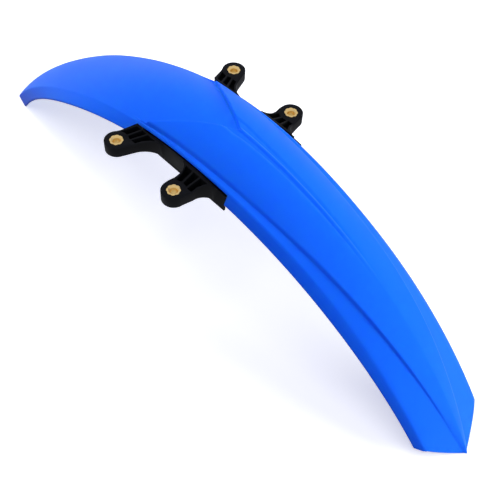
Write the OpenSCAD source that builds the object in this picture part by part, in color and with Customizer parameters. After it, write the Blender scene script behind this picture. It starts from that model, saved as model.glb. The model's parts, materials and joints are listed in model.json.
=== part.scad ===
// Front mudguard for a motorcycle with a 21 inch front wheel: a moulded plastic blade on a plastic fork brace.
// X points to the nose, Y to the left and Z up. The origin is the centre of the four fork bolts,
// on top of the lugs. Angles and radii of the blade are taken round the wheel's axle,
// with 0 degrees straight above it and positive angles towards the nose.

/* [Place on the wheel] */
// Radius at the fold between top and flank, straight above the axle; all other radii follow it
mid_fold_r = 364.5; // [355:0.5:370]
// Height of that fold over the lug tops
fold_over_lugs = 8.5; // [7.5:0.25:9.5]
// Distance from the fork bolts' centre forward to the axle
axle_ahead = 15; // [10:1:20]
// Height of the lug tops above the floor when the mudguard stands on its ends
stand_h = 142; // [130:1:155]

/* [Blade wall] */
// Thickness of the moulded wall
wall = 3; // [2.4:0.1:3.6]

/* [Section at the tail] */
// Height of the crown over the fold
tail_crown_h = 8; // [6:0.5:11]
// Half width at the fold
tail_fold_y = 35; // [32:0.5:38]
// How much farther the fold lies from the axle than it does above the axle
tail_fold_out = 5.5; // [3:0.5:8]
// Half width at the lower edge
tail_edge_y = 38.5; // [37:0.5:42]
// Height of the flank
tail_flank_h = 15.5; // [12:0.5:18]

/* [Section between tail and fork] */
// Height of the crown over the fold
rear_crown_h = 7.5; // [6:0.5:10]
// Half width at the fold
rear_fold_y = 40; // [37:0.5:43]
// How much farther the fold lies from the axle than it does above the axle
rear_fold_out = -7; // [-9:0.5:-5]
// Half width at the lower edge
rear_edge_y = 51; // [48:0.5:54]
// Height of the flank
rear_flank_h = 7.5; // [6:0.5:10]

/* [Section above the axle] */
// Height of the crown over the fold
mid_crown_h = 15.5; // [13:0.5:18]
// Half width at the fold
mid_fold_y = 43.5; // [42.5:0.5:44]
// Half width at the lower edge
mid_edge_y = 48.5; // [46:0.5:51]
// Height of the flank
mid_flank_h = 11.5; // [9:0.5:13]

/* [Section between fork and nose] */
// Height of the crown over the fold
fore_crown_h = 14.5; // [12:0.5:17]
// Half width at the fold
fore_fold_y = 39; // [36:0.5:42]
// How much farther the fold lies from the axle than it does above the axle
fore_fold_out = 7; // [5:0.5:9]
// Half width at the lower edge
fore_edge_y = 45; // [43:0.5:48]
// Height of the flank
fore_flank_h = 8; // [6:0.5:10]

/* [Section at the nose] */
// Height of the crown over the fold
nose_crown_h = 5; // [4:0.5:7]
// Half width at the fold
nose_fold_y = 34; // [31:0.5:36]
// How much farther the fold lies from the axle than it does above the axle
nose_fold_out = 17; // [15:0.5:19]
// Half width at the lower edge
nose_edge_y = 39; // [37:0.5:42]
// Height of the flank
nose_flank_h = 6.5; // [5:0.5:9]
// How far the nose's corners lie behind its tip, in degrees
nose_sweep = 5; // [3:0.5:7]

/* [Raised panel] */
// Distance from above the axle forward to the chevron's point, along the wheel
chevron_ahead = 28.6; // [20:0.2:35]
// Run of the chevron's sloped face along the wheel
chevron_run = 6.5; // [4:0.5:9]
// Rise of the panel over the crown at the chevron's point
panel_rise_rear = 4.5; // [3.5:0.5:5.5]
// Rise of the panel over the crown at the nose
panel_rise_nose = 1.5; // [1:0.25:2.5]
// Half width of the panel at the chevron
panel_y_rear = 40.5; // [38.5:0.5:41]
// Half width of the panel a third of the way to the nose
panel_y_mid = 34.5; // [32:0.5:36]
// Half width of the panel two thirds of the way to the nose
panel_y_fore = 21.5; // [19:0.5:24]
// Half width of the panel at the nose
panel_y_nose = 2; // [1.5:0.25:4]
// How far the foot of the panel's edge lies out from the fold above the axle, at the chevron
panel_out_rear = -0.5; // [-1.5:0.25:0.5]
// The same, a third of the way to the nose
panel_out_mid = 6; // [4.5:0.5:7.5]
// The same, two thirds of the way to the nose
panel_out_fore = 18; // [16:0.5:19.5]
// The same, at the nose
panel_out_nose = 22; // [20.5:0.25:22.5]
// Height of the step at the panel's edge, at the chevron
step_rear = 4; // [3:0.25:4.5]
// Height of the step at the panel's edge, on the way to the nose
step_fore = 2.4; // [1.5:0.1:3]
// Width of the step at the panel's edge
step_w = 1; // [0.6:0.1:1.6]
// Half width of the spine behind the chevron's point
spine_y_rear = 8; // [6:0.5:10]
// Half width of the spine where it fades out
spine_y_fore = 1.5; // [1:0.25:3]
// Height of the spine
spine_h = 1.2; // [0.6:0.1:1.6]
// Angle at which the spine has faded out
spine_end = 30; // [24:1:36]

/* [Fork bolts] */
// Distance between the bolts along the bike
bolt_dx = 76.2; // [75:0.1:78]
// Distance between the bolts across the bike
bolt_dy = 140; // [138:1:142]
// Radius of the bolt hole in each bush
bolt_hole_r = 3.25; // [3.1:0.05:3.4]

/* [Brass bushes] */
// Radius over the lobes of the bush
bush_r = 6.2; // [5.8:0.1:6.6]
// Radius of the bush between the lobes
bush_core_r = 5.3; // [5:0.1:5.5]
// Radius of the bush below the lobes
bush_shank_r = 4.8; // [4.4:0.1:4.9]
// Number of lobes
lobe_count = 8; // [6:1:8]
// Height of the lobed upper part
lobe_h = 4; // [3:0.5:5]
// How far the bush stands above the lug
bush_proud = 0.3; // [0.2:0.1:0.5]
// Clearance between a bush and its pocket
bush_gap = 0.1; // [0.05:0.05:0.15]

/* [Lugs and arms] */
// Radius of the lugs
lug_r = 11; // [10:0.25:11.5]
// Thickness of the lugs and arms
lug_h = 10; // [8.5:0.5:11]
// Radius of the fork notch behind the fork leg
notch_r_rear = 25; // [24:0.5:25.5]
// Radius of the fork notch ahead of the fork leg
notch_r_fore = 8; // [7:0.5:9]
// Gap along the bike between the rear notch radius and the rear lug
notch_gap_rear = 2.1; // [1.5:0.1:3]
// Distance along the bike between the centre of the front notch radius and the front lug
notch_gap_fore = 6.1; // [5:0.1:7.5]
// Radius of the hollow ahead of the front lug
hollow_r = 14; // [13:0.5:15]
// Height of the rear arms over the lugs where they meet the blade
rear_arm_rise = 3.5; // [2:0.5:4]
// Height of the front arms over the lugs where they meet the blade
fore_arm_rise = 6; // [4:0.5:6.5]
// Depth of the pockets between the ribs, below the lug tops
pocket_depth = 6; // [5:0.5:7]
// Thickness of the ribs and of the arms' side walls
rib_t = 1.8; // [1.4:0.1:2.2]

/* [Rails and beams] */
// Thickness of the side rails
rail_t = 1.8; // [1.6:0.1:2.4]
// Depth of the side rails below the lug tops
rail_depth = 13; // [12:0.5:14]
// How far the rails run on ahead of the hollow
rail_past_hollow = 9.4; // [8:0.2:11]
// How far ahead of the rear bolts the rails start
rail_start = 2.1; // [1:0.1:4]
// How far behind the rear bolts the notch in the blade's flanks starts
notch_start = 0.65; // [0.4:0.05:1]
// Clearance between brace and blade
seat_gap = 0.3; // [0.2:0.05:0.4]
// Thickness of the cross beams
beam_t = 3.5; // [3:0.25:4]
// Length of each cross beam along the bike
beam_len = 20; // [18:0.5:21]
// Depth of the ribs under the cross beams
beam_rib = 6; // [4:0.5:7]

/* [Screws] */
// Distance of the screws from the middle plane
screw_y = 14; // [13:0.5:16]
// Radius of the screw's shank
screw_r = 2; // [1.8:0.1:2.2]
// Length of the shank
screw_length = 10; // [8:0.5:10.5]
// Radius of the screw's flange head
head_r = 5; // [4.5:0.25:5.5]
// Height of the head
head_h = 3.4; // [3:0.2:4]
// Radius of the bosses under the blade
boss_r = 4; // [3.8:0.1:4.4]
// Length of the bosses
boss_len = 8; // [7.5:0.5:8.5]
// Radius of the columns in the beams that take the bosses
column_r = 6.5; // [6:0.25:7]
// Thickness of the beam under each boss
seat_t = 3; // [2.5:0.25:3.5]
// Clearance round a screw
screw_gap = 0.2; // [0.15:0.05:0.3]

/* [Hidden] */
$fn = 48;

// Sections at five even stations round the wheel, from the tail to the nose
fold_y = [tail_fold_y, rear_fold_y, mid_fold_y, fore_fold_y, nose_fold_y];
fold_r = [for (out = [tail_fold_out, rear_fold_out, 0, fore_fold_out, nose_fold_out]) mid_fold_r + out];
crown_r = fold_r + [tail_crown_h, rear_crown_h, mid_crown_h, fore_crown_h, nose_crown_h];
edge_y = [tail_edge_y, rear_edge_y, mid_edge_y, fore_edge_y, nose_edge_y];
edge_r = fold_r - [tail_flank_h, rear_flank_h, mid_flank_h, fore_flank_h, nose_flank_h];

// The lug tops lie this far above the axle, and the two end stations where the nose's fold meets the floor
axle_drop = mid_fold_r - fold_over_lugs;
floor_r = axle_drop - stand_h;
end_angle = acos(floor_r / fold_r[4]);
station_gap = end_angle / 2;

// Foot of the panel's edge, at four even places from the chevron to the nose. The chevron's arms end
// over the rear bolts, where the notch in the flanks starts.
panel_y = [panel_y_rear, panel_y_mid, panel_y_fore, panel_y_nose];
panel_r = [for (out = [panel_out_rear, panel_out_mid, panel_out_fore, panel_out_nose]) mid_fold_r + out];
nose_angle = acos(floor_r / (crown_r[4] + panel_rise_nose - wall));
run_angle = chevron_run / crown_r[2] * 180 / PI;
chevron_angle = chevron_ahead / mid_fold_r * 180 / PI;
bolt_x = bolt_dx / 2;
bolt_y = bolt_dy / 2;
notch_rear_angle = asin((axle_ahead + bolt_x + notch_start) / mid_fold_r);
chevron_sweep = chevron_angle + notch_rear_angle - run_angle;
panel_start = chevron_angle - chevron_sweep;
panel_gap = (nose_angle - panel_start) / 3;

// The top is flat in the middle and rounds off towards the fold; the panel turns into a ridge at the nose
tail_power = 2;
panel_power_rear = 1.8;
panel_power_nose = 1.3;

// Rows of the blade's mesh: along the tail, beside the fork and ahead of it
tail_rows = 18;
fork_rows = 6;
nose_rows = 15;
// Shares of the way from the middle plane to the fold, for the lines along the panel
inner_shares = [0.3, 0.55, 0.8];
// Height of the edge that the flank leaves over the notch
notch_lip = 2;

// Smooth curve through evenly spaced values, at position s counted in gaps
function slope(v, i) =
    i <= 0 ? v[1] - v[0] :
    i >= len(v) - 1 ? v[len(v) - 1] - v[len(v) - 2] : (v[i + 1] - v[i - 1]) / 2;
function curve(v, s) =
    let (i = max(0, min(len(v) - 2, floor(s))), u = s - i)
    (2 * u ^ 3 - 3 * u ^ 2 + 1) * v[i] + (u ^ 3 - 2 * u ^ 2 + u) * slope(v, i)
    + (3 * u ^ 2 - 2 * u ^ 3) * v[i + 1] + (u ^ 3 - u ^ 2) * slope(v, i + 1);
function section(v, a) = curve(v, (a + end_angle) / station_gap);
function along_panel(v, a) = curve(v, max(0, (a - panel_start) / panel_gap));
function mix(p, q, t) = p + (q - p) * t;
function clamp01(t) = max(0, min(1, t));

// Height of the panel over the crown, and half width and height of the spine on it
function panel_rise(a) = mix(panel_rise_rear, panel_rise_nose, (a - chevron_angle) / (nose_angle - chevron_angle));
function spine_share(a) = clamp01((a - chevron_angle) / (spine_end - chevron_angle));
function spine_y(a) = mix(spine_y_rear, spine_y_fore, spine_share(a) ^ 0.35);
function spine_rise(a) = spine_h * (1 - spine_share(a) ^ 3);
// The spine and the step shrink with the panel towards the nose
function fit_to_panel(a, y) = min(y, along_panel(panel_y, a) / 3);
panel_step = [step_rear, step_fore * 1.1, step_fore, 0.1];
function step_at(a) = along_panel(panel_step, a);
function panel_power(a) = mix(panel_power_rear, panel_power_nose, clamp01((a - chevron_angle) / station_gap));

// Outer radius of the tail's top, of the panel and of the strip beside it, at half width y
function tail_top(a, y) =
    section(crown_r, a) - (section(crown_r, a) - section(fold_r, a)) * (y / section(fold_y, a)) ^ tail_power;
function panel_top(a, y) =
    let (top = section(crown_r, a) + panel_rise(a), foot = along_panel(panel_r, a) + step_at(a))
    top - (top - foot) * min(1, y / along_panel(panel_y, a)) ^ panel_power(a);
function strip_top(a, y) =
    let (t = (y - along_panel(panel_y, a)) / (section(fold_y, a) - along_panel(panel_y, a)))
    mix(along_panel(panel_r, a), section(fold_r, a), t);

// Half a section of the panel and its strip, as [half width, radius] from the middle plane to the fold
function panel_half(a) =
    let (py = along_panel(panel_y, a), fy = section(fold_y, a), sy = fit_to_panel(a, spine_y(a)),
        sw = fit_to_panel(a, spine_h))
    concat(
        [[0, panel_top(a, 0) + spine_rise(a)], [sy, panel_top(a, sy) + spine_rise(a)],
            [sy + sw, panel_top(a, sy + sw)]],
        [for (s = inner_shares) let (y = mix(sy + sw, py, s)) [y, panel_top(a, y)]],
        [[py, panel_top(a, py)], [py + step_w, strip_top(a, py + step_w)]],
        [for (s = [0.5, 0.85]) let (y = mix(py + step_w, fy, s)) [y, strip_top(a, y) + fold_round * s]],
        [[fy, section(fold_r, a)]]);
// Small crown of the strip beside the panel, which softens the fold
fold_round = 0.7;

// The tail carries the same lines, at the shares of its width where the chevron meets them
lines = len(panel_half(0));
function share_at(k, a) = panel_half(a)[k][0] / section(fold_y, a);
function chevron_at(k) =
    let (a1 = chevron_angle - chevron_sweep * share_at(k, panel_start),
        a2 = chevron_angle - chevron_sweep * share_at(k, a1),
        a3 = chevron_angle - chevron_sweep * share_at(k, a2))
    chevron_angle - chevron_sweep * share_at(k, a3);
chevron_line = [for (k = [0:lines - 1]) chevron_at(k)];
nose_line = [for (k = [0:lines - 1]) nose_angle - nose_sweep * share_at(k, nose_angle)];
tail_shares = [for (k = [0:lines - 1]) share_at(k, chevron_line[k])];
function tail_point(k, a) = let (y = tail_shares[k] * section(fold_y, a)) [y, tail_top(a, y)];
function floor_angle(r) = -acos(floor_r / r);
tail_line = [for (k = [0:lines - 1]) floor_angle(tail_point(k, -end_angle)[1])];
last = lines - 1;

// Flank below the fold, whole or cut back to a lip where the brace comes out
flank_end_slant = 1;
function flank(a) =
    let (f = [section(fold_y, a), section(fold_r, a)], e = [section(edge_y, a), section(edge_r, a)])
    [for (t = [0.12, 0.55, 1]) mix(f, e, t) + [flank_bulge * sin(180 * t), 0]];
function lip(a) =
    let (f = [section(fold_y, a), section(fold_r, a)], e = [section(edge_y, a), section(edge_r, a)],
        n = (e - f) / norm(e - f))
    [for (t = [1, 2, 3]) f + n * notch_lip * t / 3];
// Outward bulge of the flanks
flank_bulge = 0.8;

// A row of the outer skin as [angle, half width, radius], from the middle plane to the lower edge
function with_angle(a, p) = [a, p[0], p[1]];
function with_angles(angles, p) = [for (k = [0:len(p) - 1]) with_angle(angles[k], p[k])];
function side_start(j) = floor_angle(flank(floor_angle(edge_r[0]))[j][1]);
function tail_side(t, j, notched) =
    let (end = chevron_line[last] - run_angle - (t > 0.99 && !notched ? flank_end_slant * (j + 1) / 3 : 0),
        a = mix(side_start(j), end, t), side = notched ? lip(a) : flank(a))
    with_angle(a, side[j]);
function tail_row(t, notched) =
    let (angles = [for (k = [0:last]) mix(tail_line[k], chevron_line[k] - run_angle, t)],
        top = [for (k = [0:last]) tail_point(k, angles[k])])
    concat(with_angles(angles, top), [for (j = [0:2]) tail_side(t, j, notched)]);
function front_row(t, notched, upright) =
    let (angles = [for (k = [0:last]) mix(chevron_line[k], nose_line[k], t)],
        top = [for (k = [0:last]) panel_half(angles[k])[k]],
        side = notched ? lip(angles[last]) : flank(angles[last]))
    concat(with_angles(angles, top),
        [for (p = side) with_angle(mix(angles[last], notch_angle(p[1]), upright), p)]);

// The notch in the flanks runs from the chevron to the upright front end of the brace
hollow_x = bolt_x + lug_r + 2 + hollow_r;
rail_fore = hollow_x + rail_past_hollow;
rail_rear = bolt_x - rail_start;
notch_fore_x = rail_fore + 2 * seat_gap;
function notch_angle(r) = asin((notch_fore_x - axle_ahead) / r);
notch_share = (notch_angle(section(fold_r, notch_angle(mid_fold_r))) - chevron_line[last])
    / (nose_line[last] - chevron_line[last]);
function to_floor(row) = [for (p = row) [floor_angle(p[2]), p[1], p[2]]];
outer_rows = concat(
    [to_floor(tail_row(0, false))],
    [for (i = [1:tail_rows - 1]) tail_row(i / tail_rows, false)],
    [tail_row(0.998, false), tail_row(1, true)],
    [for (i = [0:fork_rows]) front_row((notch_share - 0.0007) * i / fork_rows, true, 0)],
    [for (i = [0:nose_rows]) front_row(mix(notch_share, 1, i / nose_rows), false, max(0, 1 - i / 3))]);

// The inner skin lies one wall inside the outer one, square to each section
function normal(row, k) =
    k == 0 ? [0, 1] :
    let (p = row[k - 1], q = row[min(k + 1, len(row) - 1)], d = [q[1] - p[1], q[2] - p[2]])
    [-d[1], d[0]] / norm(d);
function inner_row(row, depth) =
    [for (k = [0:len(row) - 1]) let (n = normal(row, k)) [row[k][0], row[k][1] - depth * n[0], row[k][2] - depth * n[1]]];

// A row becomes points from the right edge over the middle to the left edge
function place(p, side) = [axle_ahead + p[2] * sin(p[0]), side * p[1], p[2] * cos(p[0]) - axle_drop];
function full_row(row) =
    concat([for (k = [len(row) - 1:-1:1]) place(row[k], -1)], [for (p = row) place(p, 1)]);

module shell(top, under) {
    n = len(top[0]);
    m = len(top);
    skin = n * m;
    points = concat([for (r = top) each r], [for (r = under) each r]);
    function at(i, j) = i * n + j;
    faces = concat(
        [for (i = [0:m - 2], j = [0:n - 2]) each [
            [at(i, j), at(i, j + 1), at(i + 1, j + 1)], [at(i, j), at(i + 1, j + 1), at(i + 1, j)],
            [skin + at(i, j), skin + at(i + 1, j + 1), skin + at(i, j + 1)],
            [skin + at(i, j), skin + at(i + 1, j), skin + at(i + 1, j + 1)]]],
        [for (i = [0:m - 2]) each [
            [at(i, 0), at(i + 1, 0), skin + at(i + 1, 0)], [at(i, 0), skin + at(i + 1, 0), skin + at(i, 0)],
            [at(i, n - 1), skin + at(i + 1, n - 1), at(i + 1, n - 1)],
            [at(i, n - 1), skin + at(i, n - 1), skin + at(i + 1, n - 1)]]],
        [for (j = [0:n - 2]) each [
            [at(0, j), skin + at(0, j + 1), at(0, j + 1)], [at(0, j), skin + at(0, j), skin + at(0, j + 1)],
            [at(m - 1, j), at(m - 1, j + 1), skin + at(m - 1, j + 1)],
            [at(m - 1, j), skin + at(m - 1, j + 1), skin + at(m - 1, j)]]]);
    polyhedron(points, faces, convexity = 8);
}

inner_rows = [for (i = [0:len(outer_rows) - 1])
    let (row = inner_row(outer_rows[i], wall)) i == 0 ? to_floor(row) : row];

// Height of the blade's underside at a point of the plan
function angle_over(x, r) = asin((x - axle_ahead) / r);
function outer_top(a, y) =
    a < chevron_angle - chevron_sweep * y / section(fold_y, a) ? tail_top(a, y) :
    y < along_panel(panel_y, a) ? panel_top(a, y) : strip_top(a, y);
function lowest_top(a, y) = min(tail_top(a, y) + (a > chevron_angle ? panel_rise(a) : 0),
    y < along_panel(panel_y, a) - 4.5 ? panel_top(a, y) : strip_top(a, y));
function below(a, r, drop, depth) = (r - depth * norm([1, 2 * drop])) * cos(a) - axle_drop;
function under_blade(x, y) =
    let (a = angle_over(x, outer_top(angle_over(x, crown_r[2]), y)), r = outer_top(a, y))
    below(a, r, outer_top(a, y + 0.5) - r, wall);
function fold_height(x) =
    let (a = angle_over(x, mid_fold_r)) section(fold_r, a) * cos(a) - axle_drop;

// The rails stand just outside the blade's edge, with a ledge that reaches in under it
rail_inner = mid_fold_y + 1.2;
rail_y = rail_inner + rail_t;
rail_drop = notch_lip + seat_gap;
ledge_drop = rail_drop + 1.4;
ledge_in = 3.7;
ledge_t = 3;

// Upper side of the cross beams, which follows the blade from below
bed_gap = seat_gap + 0.7;
bed_y = mid_fold_y - 3.5;
function bed(x, y) =
    let (v = min(abs(y), bed_y), a = angle_over(x, crown_r[2]), r = lowest_top(a, v),
        z = below(a, r, max(-0.4, lowest_top(a, v + 0.5) - r), wall + bed_gap))
    abs(y) < bed_y ? z : min(z, fold_height(x) - ledge_drop);

// The rear beam lies behind the chevron's arms and the front beam ahead of the chevron's point
rear_beam_x = -rail_rear + beam_len / 2;
fore_beam_x = rail_fore - 2.5 - beam_len / 2;
beam_xs = [rear_beam_x, fore_beam_x];
function boss_foot(x) = under_blade(x, screw_y) - boss_len;
boss_into_wall = 1.5;
pilot_into_wall = 0.5;

module both_sides() {
    children();
    mirror([0, 1, 0]) children();
}

module bosses() {
    for (x = beam_xs, side = [-1, 1])
        translate([x, side * screw_y, boss_foot(x)])
            cylinder(r = boss_r, h = boss_len + boss_into_wall);
}

module pilot_holes() {
    for (x = beam_xs, side = [-1, 1])
        translate([x, side * screw_y, boss_foot(x) - 1])
            cylinder(r = screw_r + screw_gap, h = boss_len + pilot_into_wall + 1);
}

module blade() {
    color("dodgerblue")
        difference() {
            union() {
                shell([for (r = outer_rows) full_row(r)], [for (r = inner_rows) full_row(r)]);
                bosses();
            }
            pilot_holes();
        }
}

// Outlines of the arms on the left side, seen from above
arm_inner_y = rail_y - 0.6;
arm_slope_y = bolt_y - 10;
notch_x_rear = lug_r + notch_gap_rear + notch_r_rear - bolt_x;
notch_x_fore = bolt_x - lug_r - notch_gap_fore;
notch_y_rear = rail_y - 0.2 + notch_r_rear;
notch_y_fore = rail_y - 0.2 + notch_r_fore;
tangent = acos((notch_r_rear + lug_r) / (notch_x_rear + bolt_x));
lug_tangent = [-bolt_x + lug_r * cos(tangent), bolt_y + lug_r * sin(tangent)];
notch_tangent = [notch_x_rear - notch_r_rear * cos(tangent), notch_y_rear - notch_r_rear * sin(tangent)];
rear_arm_outline = [
    [-bolt_x - lug_r, bolt_y], [-bolt_x - lug_r + 0.2, bolt_y - 2], [-bolt_x - 0.8, arm_inner_y],
    [notch_x_rear, arm_inner_y], [notch_x_rear, notch_tangent[1]], notch_tangent, lug_tangent];
fore_arm_outline = [
    [notch_x_fore, bolt_y], [notch_x_fore, arm_inner_y], [hollow_x, arm_inner_y],
    [hollow_x, rail_y + hollow_r], [hollow_x - hollow_r, rail_y + hollow_r],
    [bolt_x + lug_r, bolt_y]];

// Arm tops: level with the lugs, then rising to the blade
module arm(outline, x0, x1, rise) {
    intersection() {
        translate([0, 0, -lug_h]) linear_extrude(2 * lug_h) polygon(outline);
        translate([x0, 0, 0]) rotate([90, 0, 90]) linear_extrude(x1 - x0)
            polygon([[arm_inner_y - 2, -lug_h], [bolt_y + 5, -lug_h], [bolt_y + 5, 0], [arm_slope_y, 0],
                [rail_y, rise], [arm_inner_y - 2, rise]]);
    }
}

module notch() {
    translate([0, 0, -rail_depth - 1]) {
        translate([notch_x_rear, notch_y_rear, 0]) cylinder(r = notch_r_rear, h = 40, $fn = 96);
        translate([notch_x_fore, notch_y_fore, 0]) cylinder(r = notch_r_fore, h = 40);
        linear_extrude(40)
            polygon([[notch_x_rear, rail_y - 0.2], [notch_x_fore, rail_y - 0.2],
                [notch_x_fore + notch_r_fore, notch_y_fore],
                [bolt_x - lug_r, bolt_y - 4], [bolt_x - lug_r, bolt_y + 15],
                [notch_x_rear - notch_r_rear / 2, bolt_y + 15], [notch_x_rear, notch_y_rear]]);
    }
}

// Pockets between the ribs: x at the outer and inner end of each wall
pocket_outer_y = arm_slope_y + 0.5;
pocket_inner_y = rail_y + 1;
function side_x(c, r, y) = sqrt(max(0, (r + rib_t) ^ 2 - (c - y) ^ 2));
function notch_side_x(y) = notch_x_rear - side_x(notch_y_rear, notch_r_rear, y);
function hollow_side_x(y) = hollow_x - side_x(rail_y - 0.2 + hollow_r, hollow_r, y);
rear_back = [-bolt_x - lug_r + 5.4, -bolt_x + 0.2 + rib_t / 2];
fore_back = [notch_x_fore + notch_r_fore + rib_t - 0.2, notch_x_fore + notch_r_fore - 0.6];
pocket_ys = [pocket_outer_y, 55, 50, pocket_inner_y];

module rib(x_outer, x_inner) {
    polygon([[x_outer - rib_t / 2, pocket_outer_y + 1], [x_outer + rib_t / 2, pocket_outer_y + 1],
        [x_inner + rib_t / 2, pocket_inner_y - 1], [x_inner - rib_t / 2, pocket_inner_y - 1]]);
}

module pockets() {
    translate([0, 0, -pocket_depth]) linear_extrude(20) {
        difference() {
            polygon(concat([[rear_back[1], pocket_inner_y], [rear_back[0], pocket_outer_y]],
                [for (y = pocket_ys) [notch_side_x(y), y]]));
            rib(mix(rear_back[0], notch_side_x(pocket_outer_y), 0.34), mix(rear_back[1], notch_side_x(50), 0.34));
            rib(mix(rear_back[0], notch_side_x(pocket_outer_y), 0.67), mix(rear_back[1], notch_side_x(50), 0.7));
        }
        difference() {
            polygon(concat([[fore_back[1], pocket_inner_y], [fore_back[0], 55], [fore_back[0], pocket_outer_y]],
                [for (y = pocket_ys) [hollow_side_x(y), y]]));
            rib(mix(fore_back[0], hollow_side_x(pocket_outer_y), 0.33), mix(fore_back[1], hollow_side_x(50), 0.36));
            rib(mix(fore_back[0], hollow_side_x(pocket_outer_y), 0.66), mix(fore_back[1], hollow_side_x(50), 0.72));
        }
    }
}

module lug(x) {
    translate([x, bolt_y, -lug_h]) cylinder(r = lug_r, h = lug_h);
}

// Side rail beside the edge of the blade, and the ledge under that edge
rail_steps = 14;
function edge_line(drop, end) =
    [for (i = [0:rail_steps]) let (x = mix(-rail_rear, end, i / rail_steps)) [x, fold_height(x) - drop]];
function reversed(v) = [for (i = [len(v) - 1:-1:0]) v[i]];
module rail() {
    translate([0, rail_y, 0]) rotate([90, 0, 0]) linear_extrude(rail_t)
        polygon(concat([[rail_fore, -rail_depth], [-rail_rear, -rail_depth]], edge_line(rail_drop, rail_fore)));
    translate([0, rail_inner + 0.3, 0]) rotate([90, 0, 0]) linear_extrude(ledge_in + 0.3)
        polygon(concat(edge_line(ledge_drop, rail_fore - 1), reversed(edge_line(ledge_drop + ledge_t, rail_fore - 1))));
}

// Cross beam: a plate that follows the blade, with a rib under each edge
beam_shares = [0, 0.2, 0.4, 0.6, 0.7, 0.81, 0.9, 1];
beam_cols = len(beam_shares);
beam_rows = 4;
function beam_y(j) =
    sign(j) * (abs(j) == beam_cols ? rail_inner + rail_t / 2 : bed_y * beam_shares[abs(j)]);
function beam_grid(xc, depth) =
    [for (i = [0:beam_rows]) let (x = xc + beam_len * (i / beam_rows - 0.5))
        [for (j = [-beam_cols:beam_cols]) [x, beam_y(j), bed(x, beam_y(j)) - depth]]];

module beam(xc) {
    shell(beam_grid(xc, 0), beam_grid(xc, beam_t));
    for (x = [xc - beam_len / 2 + 2, xc + beam_len / 2 - 2])
        translate([x - rib_t / 2, 0, 0]) rotate([90, 0, 90]) linear_extrude(rib_t)
            polygon(concat([for (j = [-beam_cols:beam_cols]) [beam_y(j), bed(x, beam_y(j)) - 1.5]],
                [for (j = [beam_cols:-1:-beam_cols]) [beam_y(j), bed(x, beam_y(j)) - beam_t - beam_rib]]));
    for (side = [-1, 1])
        translate([xc, side * screw_y, boss_foot(xc) - seat_t])
            cylinder(r = column_r, h = bed(xc, screw_y + column_r) - boss_foot(xc) + seat_t);
}

module boss_seats() {
    for (x = beam_xs, side = [-1, 1])
        translate([x, side * screw_y, boss_foot(x)]) {
            cylinder(r = boss_r + seat_gap, h = boss_len + 5);
            translate([0, 0, -seat_t - 1]) cylinder(r = screw_r + screw_gap, h = seat_t + 2);
        }
}

// A bush, or the pocket for it, which is grown by the clearance and open below
lobe_points = 96;
function lobed(grow) =
    [for (i = [0:lobe_points - 1])
        let (t = 360 * i / lobe_points, r = mix(bush_core_r, bush_r, 0.5 + 0.5 * cos(lobe_count * t)) + grow)
        [r * cos(t), r * sin(t)]];
module bush_body(grow, top, foot) {
    translate([0, 0, -lug_h - foot]) cylinder(r = bush_shank_r + grow, h = lug_h + foot);
    translate([0, 0, -lobe_h]) linear_extrude(lobe_h + top) polygon(lobed(grow));
}

module bush_pockets() {
    for (x = [-bolt_x, bolt_x])
        translate([x, bolt_y, 0]) bush_body(bush_gap, 1, 1);
}

module fork_brace() {
    color("dimgray")
        difference() {
            union() {
                both_sides() {
                    difference() {
                        union() {
                            arm(rear_arm_outline, -bolt_x - lug_r - 1, notch_x_rear, rear_arm_rise);
                            arm(fore_arm_outline, notch_x_fore, hollow_x, fore_arm_rise);
                        }
                        notch();
                        translate([hollow_x, rail_y - 0.2 + hollow_r, -lug_h - 1])
                            cylinder(r = hollow_r, h = 3 * lug_h, $fn = 72);
                        pockets();
                    }
                    lug(-bolt_x);
                    lug(bolt_x);
                    rail();
                }
                beam(rear_beam_x);
                beam(fore_beam_x);
            }
            boss_seats();
            both_sides() bush_pockets();
        }
}

module bush(x, y) {
    color("goldenrod")
        translate([x, y, 0])
            difference() {
                bush_body(0, bush_proud, 0);
                translate([0, 0, -lug_h - 1]) cylinder(r = bolt_hole_r, h = lug_h + bush_proud + 2);
            }
}

// Flange-head screw from below, with a cross recess cut as two slots
recess_w = 1.2;
recess_l = 4.4;
module screw(x, y) {
    color("silver")
        translate([x, y, boss_foot(x) - seat_t])
            difference() {
                union() {
                    cylinder(r = screw_r, h = screw_length);
                    translate([0, 0, -1.2]) cylinder(r = head_r, h = 1.2);
                    translate([0, 0, -head_h]) cylinder(r1 = head_r * 0.62, r2 = head_r * 0.78, h = head_h - 1.2);
                }
                for (turn = [0, 90])
                    rotate(turn) translate([-recess_l / 2, -recess_w / 2, -head_h - 1])
                        cube([recess_l, recess_w, 2.8]);
            }
}

module bush_rear_right() bush(-bolt_x, -bolt_y);
module bush_front_right() bush(bolt_x, -bolt_y);
module bush_rear_left() bush(-bolt_x, bolt_y);
module bush_front_left() bush(bolt_x, bolt_y);
module screw_rear_right() screw(rear_beam_x, -screw_y);
module screw_front_right() screw(fore_beam_x, -screw_y);
module screw_rear_left() screw(rear_beam_x, screw_y);
module screw_front_left() screw(fore_beam_x, screw_y);

blade();
fork_brace();
bush_rear_right();
bush_front_right();
bush_rear_left();
bush_front_left();
screw_rear_right();
screw_front_right();
screw_rear_left();
screw_front_left();
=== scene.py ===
import json
import math

import bmesh
import bpy
import numpy as np
from mathutils import Matrix, Vector


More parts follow.
